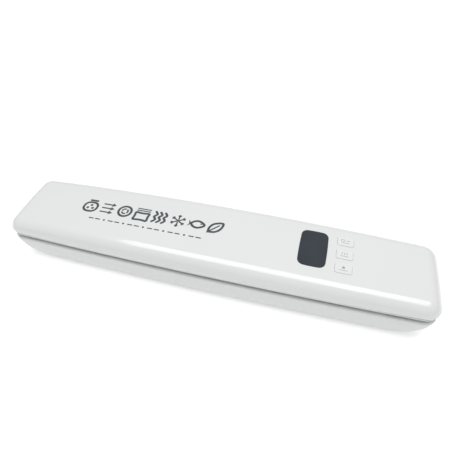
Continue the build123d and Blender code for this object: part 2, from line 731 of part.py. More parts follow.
with BuildPart() as pump_diaphragm:
    block(diaphragm_x, pump_box_y, pump_box_z)
    fillet(pump_diaphragm.edges().filter_by(Axis.X), 2.5)
    for y, z in cup_spots:
        rod((diaphragm_x[1], 12.6), y, z, 3.2)
        rod((diaphragm_x[0], 11.6), y, z, 2.4, mode=Mode.SUBTRACT)
save(pump_diaphragm, "pump_diaphragm")

with BuildPart() as pump_housing:
    block(pump_housing_x, pump_box_y, pump_box_z)
    fillet(pump_housing.edges().filter_by(Axis.X), 2.5)
    rod((pump_housing_x[0], 27.8), pump_y, pump_z, 8.2, mode=Mode.SUBTRACT)
    rod((27, 31), pump_y, pump_z, 3.2, mode=Mode.SUBTRACT)
save(pump_housing, "pump_housing")

with BuildPart() as wobble_plate:
    rod((12.6, 14.4), pump_y, pump_z, 7.4)
    rod((14.4, 17.4), pump_y, pump_z, 3.2)
    rod((14.2, 18), pump_y, pump_z, 2.0, mode=Mode.SUBTRACT)
save(wobble_plate, "wobble_plate")

with BuildPart() as pump_eccentric:
    rod((18.2, 24), pump_y, pump_z, 5.0)
    rod((15.0, 19), pump_y + eccentric_throw, pump_z, 0.7)
    rod((20, 25), pump_y, pump_z, shaft_radius, mode=Mode.SUBTRACT)
save(pump_eccentric, "pump_eccentric")

with BuildPart() as motor_can:
    with BuildSketch(Plane.YZ.offset(motor_x[0])) as can_face:
        with Locations((pump_y, pump_z)):
            Circle(motor_radius)
            Rectangle(3 * motor_radius, 2 * motor_half_height, mode=Mode.INTERSECT)
    extrude(amount=motor_x[1] - motor_x[0])
    with BuildSketch(Plane.YZ.offset(motor_x[0] + 1)) as can_hollow:
        with Locations((pump_y, pump_z)):
            Circle(motor_radius - 1)
            Rectangle(3 * motor_radius, 2 * motor_half_height - 2, mode=Mode.INTERSECT)
    extrude(amount=motor_x[1] - motor_x[0], mode=Mode.SUBTRACT)
    rod((motor_x[0] - 1.9, motor_x[0] + 0.5), pump_y, pump_z, 3.0)
    rod((motor_x[0] - 3, motor_x[0] + 2), pump_y, pump_z, shaft_radius + bearing_gap, mode=Mode.SUBTRACT)
save(motor_can, "motor_can")

with BuildPart() as motor_end_cap:
    with BuildSketch(Plane.YZ.offset(motor_x[1])):
        with Locations((pump_y, pump_z)):
            Circle(motor_radius - 0.3)
            Rectangle(3 * motor_radius, 2 * motor_half_height - 0.6, mode=Mode.INTERSECT)
    extrude(amount=1.8)
    rod((motor_x[1] + 1.8, motor_x[1] + 3.2), pump_y, pump_z, 3.0)
    for y in (pump_y - 5, pump_y + 5):
        block((motor_x[1] + 1.8, motor_x[1] + 4.8), (y - 1.2, y + 1.2), (pump_z - 0.25, pump_z + 0.25))
    rod((motor_x[1] - 1, motor_x[1] + 2.2), pump_y, pump_z, shaft_radius + bearing_gap, mode=Mode.SUBTRACT)
save(motor_end_cap, "motor_end_cap")

with BuildPart() as motor_shaft:
    rod((20, motor_x[1] + 1.8), pump_y, pump_z, shaft_radius)
save(motor_shaft, "motor_shaft")

with BuildPart() as motor_armature:
    rod((36, 54), pump_y, pump_z, 7.0)
    rod((54, 58.5), pump_y, pump_z, 2.6)
    for k in range(3):
        with BuildPart(mode=Mode.PRIVATE) as slot:
            block((36, 54), (pump_y + 3.2, pump_y + 8), (pump_z - 0.9, pump_z + 0.9))
        slot_turned = slot.part.rotate(Axis((0, pump_y, pump_z), (1, 0, 0)), 120 * k)
        add(slot_turned, mode=Mode.SUBTRACT)
    rod((35, 59), pump_y, pump_z, shaft_radius, mode=Mode.SUBTRACT)
save(motor_armature, "motor_armature")

# ---------------------------------------------------------------- vacuum path

with BuildPart() as vacuum_port:
    post(port_x, port_y, (11.5, tub_z), 3.8)
    post(port_x, port_y, (tub_z - 0.5, trough_floor_z), 2.5)
    with Locations((port_x, port_y + 5.5, nozzle_z)):
        Cylinder(nozzle_radius, 9.0, rotation=(90, 0, 0))
    post(port_x, port_y, (nozzle_z, trough_floor_z), 1.2, mode=Mode.SUBTRACT)
    with Locations((port_x, port_y + 5.0, nozzle_z)):
        Cylinder(1.1, 10.0, rotation=(90, 0, 0), mode=Mode.SUBTRACT)
save(vacuum_port, "vacuum_port")

hose_route = [(port_x, 0.2, nozzle_z), (port_x, nozzle_y, nozzle_z), (-0.4, nozzle_y, nozzle_z)]

with BuildPart() as vacuum_hose:
    add(wire(hose_route, 8.0, 3.0))
    add(wire(hose_route, 8.0, 2.03), mode=Mode.SUBTRACT)
save(vacuum_hose, "vacuum_hose")

# ---------------------------------------------------------------- mains inlet

with BuildPart() as power_inlet:
    block((inlet_x - 9.8, inlet_x + 9.8), (13, inlet_face_y), (inlet_z - 6.8, inlet_z + 6.8))
    half_pitch = inlet_pin_spacing / 2
    with BuildSketch(Plane.XZ.offset(-inlet_face_y)):
        with Locations((inlet_x - half_pitch, inlet_z), (inlet_x + half_pitch, inlet_z)):
            Circle(4.3)
        with Locations((inlet_x, inlet_z)):
            Rectangle(inlet_pin_spacing, 7.0)
    extrude(amount=11.5, mode=Mode.SUBTRACT)
    for x in (inlet_x - half_pitch, inlet_x + half_pitch):
        with Locations((x, 16, inlet_z)):
            Cylinder(inlet_pin_radius, 20, rotation=(90, 0, 0), mode=Mode.SUBTRACT)
save(power_inlet, "power_inlet")

with BuildPart() as inlet_pins:
    for x in (inlet_x - half_pitch, inlet_x + half_pitch):
        with Locations((x, (13 + 31.6) / 2, inlet_z)):
            Cylinder(inlet_pin_radius, 31.6 - 13, rotation=(90, 0, 0))
        block((x - 1.6, x + 1.6), (8, 13.0), (inlet_z - 0.4, inlet_z + 0.4))
    tips = inlet_pins.edges().filter_by(GeomType.CIRCLE).group_by(Axis.Y)[-1]
    fillet(tips, 0.6)
save(inlet_pins, "inlet_pins")

# ---------------------------------------------------------------- power board

parts_z = power_board_z + board_thickness

with BuildPart() as power_board:
    extrude(rounded_box_sketch(power_board_x, power_board_y, 1.0, power_board_z), amount=board_thickness)
    for spot in power_post_spots:
        post(spot[0], spot[1], (power_board_z, parts_z), 1.2, mode=Mode.SUBTRACT)
save(power_board, "power_board")

with BuildPart() as power_board_screws:
    for spot in power_post_spots:
        pan_screw(spot[0], spot[1], parts_z, floor_z + 0.4, 0.95, 2.0, 1.2)
save(power_board_screws, "power_board_screws")

with BuildPart() as transformer_core:
    block((-84, -66), (15, 23), (parts_z + 0.6, 22.2))
    block((-81, -77.5), (15, 23), (parts_z + 3, 20), mode=Mode.SUBTRACT)
    block((-72.5, -69), (15, 23), (parts_z + 3, 20), mode=Mode.SUBTRACT)
save(transformer_core, "transformer_core")

with BuildPart() as transformer_winding:
    extrude(rounded_box_sketch((-80.9, -69.1), (11, 27), 2.0, parts_z + 3.1), amount=20 - parts_z - 3.2)
    block((-77.5, -72.5), (15, 23), (parts_z, 21), mode=Mode.SUBTRACT)
save(transformer_winding, "transformer_winding")

with BuildPart() as bulk_capacitor:
    post(-57, 20, (parts_z, 22.4), 5.0)
    fillet(bulk_capacitor.edges().group_by(Axis.Z)[-1], 0.6)
save(bulk_capacitor, "bulk_capacitor")

with BuildPart() as relay:
    block((-49, -37), (14, 24), (parts_z, 19.5))
    chamfer(relay.edges().group_by(Axis.Z)[-1], 0.5)
save(relay, "relay")

with BuildPart() as fuse:
    rod((-112, -92), 13, 12.0, 2.4)
    rod((-112, -107), 13, 12.0, 2.7)
    rod((-97, -92), 13, 12.0, 2.7)
    block((-110.5, -108.5), (12, 14), (parts_z, 11))
    block((-95.5, -93.5), (12, 14), (parts_z, 11))
save(fuse, "fuse")

with BuildPart() as heatsink:
    block((-106, -88), (24.6, 26), (parts_z, 21.5))
    for k in range(6):
        fin_x = -106 + 3.36 * k
        block((fin_x, fin_x + 1.2), (21, 25), (parts_z + 1, 21.5))
save(heatsink, "heatsink")

with BuildPart() as mains_terminal:
    block((-121, -115.5), (15, 23), (parts_z, 15.5))
    for y in (17.0, 21.0):
        post(-118.2, y, (13.5, 16), 1.2, mode=Mode.SUBTRACT)
save(mains_terminal, "mains_terminal")

# ---------------------------------------------------------------- leads

pin_x_near = inlet_x + half_pitch
pin_x_far = inlet_x - half_pitch

with BuildPart() as mains_leads:
    for start_x, cross_y, rise_x, end_y in ((pin_x_near, 2, -126.8, 21), (pin_x_far, -2, -124.4, 17)):
        bends = [(start_x, cross_y, inlet_z), (rise_x, cross_y, 12.2), (rise_x, end_y, 12.2)]
        add(wire([(start_x, 7.9, inlet_z), *bends, (-121, end_y, 12.2)], 2.3, 0.8))
save(mains_leads, "mains_leads")

lead_y = -28.0
lead_z = 12.0

with BuildPart() as heater_leads:
    for side, board_point in ((-1, -100.0), (1, -52.0)):
        add(
            wire(
                [
                    (side * terminal_screw_x, heater_mid_y, 22.4),
                    (side * terminal_screw_x, heater_mid_y, 13.0),
                    (side * 143.0, lead_y, lead_z),
                    (board_point, lead_y, lead_z),
                    (board_point, 10.0, lead_z),
                    (board_point, 10.0, parts_z),
                ],
                [3.0, 3.0, 8.0, 1.5],
                0.8,
            )
        )
save(heater_leads, "heater_leads")

with BuildPart() as pump_leads:
    for y, drop_y, end_x, end_y in ((pump_y - 5, 4.6, -33.0, 15.5), (pump_y + 5, 2.2, -33.0, 19.0)):
        turn_x = 70.0 if y < pump_y else 73.0
        rise_x = end_x + 6.0 if y < pump_y else end_x + 3.5
        add(
            wire(
                [
                    (motor_x[1] + 4.9, y, pump_z),
                    (turn_x, y, pump_z),
                    (turn_x, drop_y, 6.6),
                    (rise_x, drop_y, 6.6),
                    (rise_x, end_y, 13.0),
                    (end_x, end_y, 13.0),
                    (end_x, end_y, parts_z),
                ],
                [2.0, 2.4, 2.4, 1.6, 1.2] if y < pump_y else [2.0, 2.4, 2.4, 1.2, 1.2],
                0.7,
            )
        )
save(pump_leads, "pump_leads")

# ---------------------------------------------------------------- lid switch

with BuildPart() as lid_switch:
    block((153.6, 163.5), (9.4, 14.6), (16.0, deck_z))
    post(switch_x, switch_y, (17.0, deck_z), plunger_radius + 0.1, mode=Mode.SUBTRACT)
save(lid_switch, "lid_switch")

with BuildPart() as switch_plunger:
    post(switch_x, switch_y, (18.2, plunger_top_z), plunger_radius)
    fillet(switch_plunger.edges().group_by(Axis.Z)[-1], 0.6)
save(switch_plunger, "switch_plunger")
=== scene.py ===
import json
import math

import bmesh
import bpy
from mathutils import Matrix, Vector


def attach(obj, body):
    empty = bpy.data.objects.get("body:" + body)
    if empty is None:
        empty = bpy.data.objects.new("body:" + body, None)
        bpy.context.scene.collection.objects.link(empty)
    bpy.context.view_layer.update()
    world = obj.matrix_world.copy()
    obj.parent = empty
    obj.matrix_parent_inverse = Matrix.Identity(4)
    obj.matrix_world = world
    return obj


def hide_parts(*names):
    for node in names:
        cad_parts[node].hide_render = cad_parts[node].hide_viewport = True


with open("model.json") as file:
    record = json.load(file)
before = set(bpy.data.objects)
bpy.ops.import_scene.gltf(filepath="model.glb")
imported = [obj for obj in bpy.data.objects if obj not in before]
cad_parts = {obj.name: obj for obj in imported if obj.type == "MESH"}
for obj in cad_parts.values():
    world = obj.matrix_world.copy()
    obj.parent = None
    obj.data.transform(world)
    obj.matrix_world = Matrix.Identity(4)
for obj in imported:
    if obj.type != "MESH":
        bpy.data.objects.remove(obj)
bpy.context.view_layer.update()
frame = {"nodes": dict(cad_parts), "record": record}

NODES = frame["nodes"]
MM = 0.001

# Driving sizes of the body, in millimetres, as the CAD has them.
HALF_LENGTH = 179.7
HALF_WIDTH = 33.5
SIDE_BOW = 2.5
END_BOW = 0.6
CORNER = 12.5
HEIGHT = 46.5
DROP_LONG = 3.3
DROP_CROSS = 0.9
TOP_R = 11.5
CURL_R = 3.0
WALL = 2.2
COVER_Z = 31.5
LEDGE_Z = 33.5
LEDGE_INSET = 5.2
HINGE_Y = 32.6
HINGE_Z = 29.5
WINDOW = (83.9, 2.1, 21.7, 35.6)
WINDOW_BOW = 0.45
WINDOW_CORNER = 4.6
LENS_SEAT_Z = 44.2
KEY_X = 108.0
KEY_YS = (14.7, 1.4, -11.9)
KEY_SIZE = (12.6, 8.6)
KEY_CORNER = 1.5


# ---------------------------------------------------------------- materials


def new_material(name):
    material = bpy.data.materials.new(name)
    material.use_nodes = True
    return material, material.node_tree, material.node_tree.nodes["Principled BSDF"]


def noise(tree, scale, detail=2.0, kind="ShaderNodeTexNoise"):
    coords = tree.nodes.new("ShaderNodeTexCoord")
    node = tree.nodes.new(kind)
    tree.links.new(coords.outputs["Object"], node.inputs["Vector"])
    node.inputs["Scale"].default_value = scale
    if "Detail" in node.inputs:
        node.inputs["Detail"].default_value = detail
    return node


def fade(tree, source, low, high, start=0.35, stop=0.65):
    ramp = tree.nodes.new("ShaderNodeValToRGB")
    ramp.color_ramp.elements[0].position = start
    ramp.color_ramp.elements[1].position = stop
    ramp.color_ramp.elements[0].color = (*low, 1)
    ramp.color_ramp.elements[1].color = (*high, 1)
    tree.links.new(source, ramp.inputs["Fac"])
    return ramp.outputs["Color"]


def remap(tree, source, low, high):
    node = tree.nodes.new("ShaderNodeMapRange")
    node.inputs["From Min"].default_value = 0.3
    node.inputs["From Max"].default_value = 0.7
    node.inputs["To Min"].default_value = low
    node.inputs["To Max"].default_value = high
    tree.links.new(source, node.inputs["Value"])
    return node.outputs["Result"]


def surface(name, colour, rough, spread=0.02, mottle=60.0, grain=1500.0, depth=0.02, rough_spread=0.04,
            metallic=0.0, coat=0.0, coat_rough=0.06, ior=1.5, sheen=0.0, transmission=0.0, alpha=1.0,
            specular=0.5):
    """A moulded, rolled or coated surface: mottled colour, uneven gloss and a fine grain in millimetres."""
    material, tree, bsdf = new_material(name)
    broad = noise(tree, mottle, 3.0)
    low = tuple(c * (1 - spread) for c in colour)
    high = tuple(min(1.0, c * (1 + spread)) for c in colour)
    tree.links.new(fade(tree, broad.outputs["Fac"], low, high), bsdf.inputs["Base Color"])
    tree.links.new(remap(tree, broad.outputs["Fac"], rough - rough_spread, rough + rough_spread),
                   bsdf.inputs["Roughness"])
    fine = noise(tree, grain, 4.0)
    bump = tree.nodes.new("ShaderNodeBump")
    bump.inputs["Strength"].default_value = 0.6
    bump.inputs["Distance"].default_value = depth * MM
    tree.links.new(fine.outputs["Fac"], bump.inputs["Height"])
    tree.links.new(bump.outputs["Normal"], bsdf.inputs["Normal"])
    bsdf.inputs["Metallic"].default_value = metallic
    bsdf.inputs["Coat Weight"].default_value = coat
    bsdf.inputs["Coat Roughness"].default_value = coat_rough
    bsdf.inputs["IOR"].default_value = ior
    bsdf.inputs["Sheen Weight"].default_value = sheen
    bsdf.inputs["Transmission Weight"].default_value = transmission
    bsdf.inputs["Specular IOR Level"].default_value = specular
    bsdf.inputs["Alpha"].default_value = alpha
    return material


def woven(name, colour, rough, pitch):
    """A woven tape: two crossed wave textures give the threads their colour and height."""
    material, tree, bsdf = new_material(name)
    waves = []
    for direction in ("X", "Y"):
        wave = noise(tree, 1 / (pitch * MM) / 3.2, kind="ShaderNodeTexWave")
        wave.bands_direction = direction
        waves.append(wave)
    cross = tree.nodes.new("ShaderNodeMath")
    cross.operation = "MULTIPLY"
    tree.links.new(waves[0].outputs["Fac"], cross.inputs[0])
    tree.links.new(waves[1].outputs["Fac"], cross.inputs[1])
    low = tuple(c * 0.72 for c in colour)
    tree.links.new(fade(tree, cross.outputs["Value"], low, colour, 0.1, 0.7), bsdf.inputs["Base Color"])
    bump = tree.nodes.new("ShaderNodeBump")
    bump.inputs["Strength"].default_value = 0.8
    bump.inputs["Distance"].default_value = 0.05 * MM
    tree.links.new(cross.outputs["Value"], bump.inputs["Height"])
    tree.links.new(bump.outputs["Normal"], bsdf.inputs["Normal"])
    bsdf.inputs["Roughness"].default_value = rough
    return material


def foam(name, colour):
    """Closed-cell foam: small round cells in the height and the colour."""
    material, tree, bsdf = new_material(name)
    cells = noise(tree, 1600.0, kind="ShaderNodeTexVoronoi")
    low = tuple(c * 0.6 for c in colour)
    tree.links.new(fade(tree, cells.outputs["Distance"], low, colour, 0.05, 0.5), bsdf.inputs["Base Color"])
    bump = tree.nodes.new("ShaderNodeBump")
    bump.inputs["Strength"].default_value = 0.9
    bump.inputs["Distance"].default_value = 0.15 * MM
    tree.links.new(cells.outputs["Distance"], bump.inputs["Height"])
    tree.links.new(bump.outputs["Normal"], bsdf.inputs["Normal"])
    bsdf.inputs["Roughness"].default_value = 0.85
    return material


def brushed(name, colour, rough, along="X", metallic=1.0):
    """Drawn or rolled metal: fine streaks along one axis."""
    material, tree, bsdf = new_material(name)
    coords = tree.nodes.new("ShaderNodeTexCoord")
    stretch = tree.nodes.new("ShaderNodeMapping")
    scale = {"X": (60, 3000, 3000), "Y": (3000, 60, 3000), "Z": (3000, 3000, 60)}[along]
    stretch.inputs["Scale"].default_value = scale
    streaks = tree.nodes.new("ShaderNodeTexNoise")
    streaks.inputs["Scale"].default_value = 1.0
    streaks.inputs["Detail"].default_value = 4.0
    tree.links.new(coords.outputs["Object"], stretch.inputs["Vector"])
    tree.links.new(stretch.outputs["Vector"], streaks.inputs["Vector"])
    low = tuple(c * 0.86 for c in colour)
    tree.links.new(fade(tree, streaks.outputs["Fac"], low, colour), bsdf.inputs["Base Color"])
    tree.links.new(remap(tree, streaks.outputs["Fac"], rough - 0.07, rough + 0.07), bsdf.inputs["Roughness"])
    bump = tree.nodes.new("ShaderNodeBump")
    bump.inputs["Strength"].default_value = 0.4
    bump.inputs["Distance"].default_value = 0.01 * MM
    tree.links.new(streaks.outputs["Fac"], bump.inputs["Height"])
    tree.links.new(bump.outputs["Normal"], bsdf.inputs["Normal"])
    bsdf.inputs["Metallic"].default_value = metallic
    return material


MATERIALS = {
    "gloss_white": surface("gloss_white", (0.70, 0.708, 0.705), 0.16, spread=0.006, mottle=14, grain=220,
                           depth=0.004, rough_spread=0.02, coat=0.35, coat_rough=0.05),
    "satin_white": surface("satin_white", (0.69, 0.700, 0.700), 0.42, spread=0.012, mottle=25, grain=1800,
                           depth=0.012, rough_spread=0.04),
    "smoked_window": surface("smoked_window", (0.022, 0.030, 0.039), 0.10, spread=0.10, mottle=40, grain=300,
                             depth=0.003, rough_spread=0.02, coat=0.6, coat_rough=0.03),
    "black_plastic": surface("black_plastic", (0.028, 0.028, 0.030), 0.48, spread=0.12, depth=0.02),
    "led_clear": surface("led_clear", (0.85, 0.84, 0.72), 0.25, spread=0.05, transmission=0.3),
    "switch_metal": brushed("switch_metal", (0.62, 0.62, 0.60), 0.35),
    "board_green": surface("board_green", (0.020, 0.115, 0.050), 0.38, spread=0.25, mottle=350, depth=0.03),
    "zinc_steel": brushed("zinc_steel", (0.62, 0.63, 0.66), 0.32, "Z"),
    "white_silicone": surface("white_silicone", (0.72, 0.72, 0.70), 0.62, spread=0.03, sheen=0.1, depth=0.03),
    "grey_foam": foam("grey_foam", (0.10, 0.105, 0.11)),
    "key_white": surface("key_white", (0.71, 0.718, 0.715), 0.22, spread=0.008, mottle=30, grain=900,
                         depth=0.005, coat=0.2, coat_rough=0.08),
    "button_white": surface("button_white", (0.64, 0.65, 0.65), 0.40, spread=0.015, mottle=30, grain=1500),
    "turned_steel": brushed("turned_steel", (0.66, 0.66, 0.66), 0.25, "X"),
    "armature_steel": brushed("armature_steel", (0.35, 0.34, 0.33), 0.42, "Y"),
    "capacitor_sleeve": surface("capacitor_sleeve", (0.018, 0.025, 0.07), 0.25, spread=0.2, coat=0.3),
    "fuse_glass": surface("fuse_glass", (0.85, 0.90, 0.90), 0.06, spread=0.02, transmission=0.7, alpha=0.6),
    "heat_board": surface("heat_board", (0.33, 0.20, 0.085), 0.55, spread=0.20, mottle=500, depth=0.03),
    "heater_lead_insulation": surface("heater_lead_insulation", (0.70, 0.64, 0.55), 0.50, spread=0.05),
    "heating_alloy": brushed("heating_alloy", (0.50, 0.46, 0.42), 0.34, "X"),
    "release_tape": woven("release_tape", (0.42, 0.27, 0.14), 0.48, 0.55),
    "brass_terminal": brushed("brass_terminal", (0.75, 0.62, 0.36), 0.28, "Y"),
    "black_aluminium": surface("black_aluminium", (0.035, 0.035, 0.038), 0.38, metallic=0.6, spread=0.1),
    "mains_lead_insulation": surface("mains_lead_insulation", (0.03, 0.07, 0.28), 0.45, spread=0.1),
    "terminal_plastic": surface("terminal_plastic", (0.60, 0.60, 0.53), 0.42, spread=0.04),
    "pump_plastic": surface("pump_plastic", (0.045, 0.045, 0.05), 0.45, spread=0.12),
    "black_rubber": surface("black_rubber", (0.022, 0.022, 0.023), 0.78, spread=0.15, sheen=0.15, depth=0.05),
    "pump_lead_insulation": surface("pump_lead_insulation", (0.40, 0.03, 0.025), 0.42, spread=0.1),
    "relay_blue": surface("relay_blue", (0.02, 0.08, 0.32), 0.35, spread=0.08),
    "ferrite": surface("ferrite", (0.035, 0.035, 0.038), 0.62, spread=0.3, mottle=800, depth=0.05),
    "winding_tape": surface("winding_tape", (0.62, 0.46, 0.05), 0.30, spread=0.06, mottle=200),
    "clear_tube": surface("clear_tube", (0.75, 0.77, 0.75), 0.25, spread=0.03, transmission=0.4),
    "print_grey": surface("print_grey", (0.050, 0.068, 0.070), 0.45, spread=0.10, mottle=400, grain=2500,
                          depth=0.004),
    "legend_grey": surface("legend_grey", (0.30, 0.31, 0.32), 0.50, spread=0.08, mottle=400, grain=2500,
                           depth=0.003),
}

for subpart in frame["record"]["subparts"]:
    node = NODES[subpart["node"]]
    node.data.materials.clear()
    node.data.materials.append(MATERIALS[subpart["material_slot"]])


# ---------------------------------------------------------------- mesh helpers


def finish_mesh(name, verts, faces, material, body, sharp=32.0):
    """Builds a smooth-shaded object from millimetre vertices and makes it ride on a body."""
    mesh = bpy.data.meshes.new(name)
    mesh.from_pydata([tuple(c * MM for c in v) for v in verts], [], faces)
    mesh.validate()
    work = bmesh.new()
    work.from_mesh(mesh)
    bmesh.ops.remove_doubles(work, verts=work.verts, dist=1e-7)
    bmesh.ops.recalc_face_normals(work, faces=work.faces)
    work.to_mesh(mesh)
    work.free()
    mesh.materials.append(MATERIALS[material])
    obj = bpy.data.objects.new(name, mesh)
    bpy.context.scene.collection.objects.link(obj)
    mesh.polygons.foreach_set("use_smooth", [True] * len(mesh.polygons))
    mesh.set_sharp_from_angle(angle=math.radians(sharp))
    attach(obj, body)
    return obj


def temporary(name, verts, faces):
    mesh = bpy.data.meshes.new(name)
    mesh.from_pydata([tuple(c * MM for c in v) for v in verts], [], faces)
    work = bmesh.new()
    work.from_mesh(mesh)
    bmesh.ops.recalc_face_normals(work, faces=work.faces)
    work.to_mesh(mesh)
    work.free()
    obj = bpy.data.objects.new(name, mesh)
    bpy.context.scene.collection.objects.link(obj)
    return obj


def prism(points, low, high):
    """Vertices and faces of an upright prism over a flat outline."""
    n = len(points)
    verts = [(x, y, low) for x, y in points] + [(x, y, high) for x, y in points]
    faces = [tuple(range(n - 1, -1, -1)), tuple(range(n, 2 * n))]
    faces += [(k, (k + 1) % n, n + (k + 1) % n, n + k) for k in range(n)]
    return verts, faces


def lying_rod(x, y, z, radius, sides=48):
    """Vertices and faces of a cylinder along X."""
    ring = [(y + radius * math.cos(2 * math.pi * k / sides), z + radius * math.sin(2 * math.pi * k / sides))
            for k in range(sides)]
    verts = [(x[0], a, b) for a, b in ring] + [(x[1], a, b) for a, b in ring]
    faces = [tuple(range(sides - 1, -1, -1)), tuple(range(sides, 2 * sides))]
    faces += [(k, (k + 1) % sides, sides + (k + 1) % sides, sides + k) for k in range(sides)]
    return verts, faces


def boolean(target, tools, operation="DIFFERENCE"):
    """Applies each tool to a target mesh and removes the tools."""
    for verts, faces in tools:
        tool = temporary("tool", verts, faces)
        modifier = target.modifiers.new("cut", "BOOLEAN")
        modifier.operation = operation
        modifier.solver = "EXACT"
        modifier.object = tool
        bpy.context.view_layer.update()
        result = bpy.data.meshes.new_from_object(target.evaluated_get(bpy.context.evaluated_depsgraph_get()))
        target.modifiers.clear()
        old = target.data
        target.data = result
        bpy.data.meshes.remove(old)
        bpy.data.objects.remove(tool)


def rounded_rectangle(cx, cy, width, height, radius, steps=8):
    points = []
    for sx, sy, start in ((1, -1, -90), (1, 1, 0), (-1, 1, 90), (-1, -1, 180)):
        for k in range(steps + 1):
            a = math.radians(start + 90 * k / steps)
            points.append((cx + sx * (width / 2 - radius) + radius * math.cos(a),
                           cy + sy * (height / 2 - radius) + radius * math.sin(a)))
    return points


def bowed_rectangle(cx, cy, width, height, bow, radius, steps=10):
    """A rounded rectangle whose sides bulge a little."""
    points = []
    for x, y in rounded_rectangle(0, 0, width - 2 * bow, height - 2 * bow, radius, steps):
        points.append((x, y))
    dense = []
    for k, p in enumerate(points):
        q = points[(k + 1) % len(points)]
        dense.append(p)
        gap = math.dist(p, q)
        if gap > 2:
            count = int(gap / 1.2)
            dense += [(p[0] + (q[0] - p[0]) * m / count, p[1] + (q[1] - p[1]) * m / count)
                      for m in range(1, count)]
    half_w, half_h = width / 2 - bow, height / 2 - bow
    result = []
    for x, y in dense:
        u, v = x / half_w, y / half_h
        result.append((cx + x + bow * u * (1 - v * v), cy + y + bow * v * (1 - u * u)))
    return result


# ---------------------------------------------------------------- body outline and lid cover


def crown_z(x, y):
    return HEIGHT - DROP_LONG * (x / HALF_LENGTH) ** 2 - DROP_CROSS * (y / 36.0) ** 2


def outline_frame(inset_side, inset_end, radius, n_long=151, n_short=21, n_corner=11):
    """Points that the rounded corners and bowed sides are offset from, and their outward directions.

    They run round the body from the front left, with the four sides' sample counts fixed, so that outlines of
    different insets can be joined point to point.
    """
    a = HALF_LENGTH - inset_end
    b = HALF_WIDTH - inset_side
    long_r = (a * a + SIDE_BOW**2) / (2 * SIDE_BOW)
    short_r = (b * b + END_BOW**2) / (2 * END_BOW)
    centre_y = long_r - b - SIDE_BOW
    centre_x = a + END_BOW - short_r
    x, y = a - radius, -(b - radius)
    for _ in range(12):
        y = centre_y - math.sqrt((long_r - radius) ** 2 - x * x)
        x = centre_x + math.sqrt((short_r - radius) ** 2 - y * y)
    long_angle = math.asin(x / (long_r - radius))
    short_angle = math.asin(-y / (short_r - radius))
    front = []
    for k in range(n_long):
        t = long_angle * (2 * k / (n_long - 1) - 1)
        nx, ny = math.sin(t), -math.cos(t)
        front.append(((long_r - radius) * nx, centre_y + (long_r - radius) * ny, nx, ny))
    right = []
    for k in range(n_short):
        t = short_angle * (2 * k / (n_short - 1) - 1)
        nx, ny = math.cos(t), math.sin(t)
        right.append((centre_x + (short_r - radius) * nx, (short_r - radius) * ny, nx, ny))

    def corner(cx, cy, first, last):
        return [(cx, cy, math.cos(first + (last - first) * k / (n_corner + 1)),
                 math.sin(first + (last - first) * k / (n_corner + 1))) for k in range(1, n_corner + 1)]

    quarter = math.pi / 2
    samples = list(front)
    samples += corner(x, y, -quarter + long_angle, -short_angle)
    samples += right
    samples += corner(x, -y, short_angle, quarter - long_angle)
    samples += [(-px, -py, -nx, -ny) for px, py, nx, ny in front]
    samples += corner(-x, -y, quarter + long_angle, 2 * quarter - short_angle)
    samples += [(-px, -py, -nx, -ny) for px, py, nx, ny in right]
    samples += corner(-x, y, 2 * quarter + short_angle, 3 * quarter - long_angle)
    return samples, n_long, n_short, n_corner


def grid_inside(samples, n_long, n_short, n_corner, z_of):
    """A grid of vertices inside an outline's offset points, and the perimeter's place in it."""
    front = samples[:n_long]
    right = samples[n_long + n_corner : n_long + n_corner + n_short]
    verts = []
    for j in range(n_short):
        v = j / (n_short - 1)
        for i in range(n_long):
            u = i / (n_long - 1)
            fx, fy = front[i][0], front[i][1]
            rx, ry = right[j][0], right[j][1]
            # Coons patch: the back is the front mirrored and the left is the right mirrored.
            corner_x, corner_y = front[-1][0], front[-1][1]
            x = fx + rx * (2 * u - 1) - corner_x * (2 * u - 1)
            y = fy * (1 - 2 * v) + ry - corner_y * (1 - 2 * v)
            verts.append((x, y, z_of(x, y)))
    def at(i, j):
        return j * n_long + i
    place = [at(i, 0) for i in range(n_long)]
    place += [at(n_long - 1, 0)] * n_corner
    place += [at(n_long - 1, j) for j in range(n_short)]
    place += [at(n_long - 1, n_short - 1)] * n_corner
    place += [at(n_long - 1 - i, n_short - 1) for i in range(n_long)]
    place += [at(0, n_short - 1)] * n_corner
    place += [at(0, n_short - 1 - j) for j in range(n_short)]
    place += [at(0, 0)] * n_corner
    faces = [(at(i, j), at(i + 1, j), at(i + 1, j + 1), at(i, j + 1))
             for j in range(n_short - 1) for i in range(n_long - 1)]
    return verts, faces, place


def skin_between(faces, ring_a, ring_b):
    """Faces between two rings of vertex numbers; a side that has shrunk to nothing gives a triangle."""
    count = len(ring_a)
    for k in range(count):
        quad = [ring_a[k], ring_a[(k + 1) % count], ring_b[(k + 1) % count], ring_b[k]]
        face = [v for m, v in enumerate(quad) if v != quad[m - 1]]
        if len(face) > 2:
            faces.append(tuple(face))


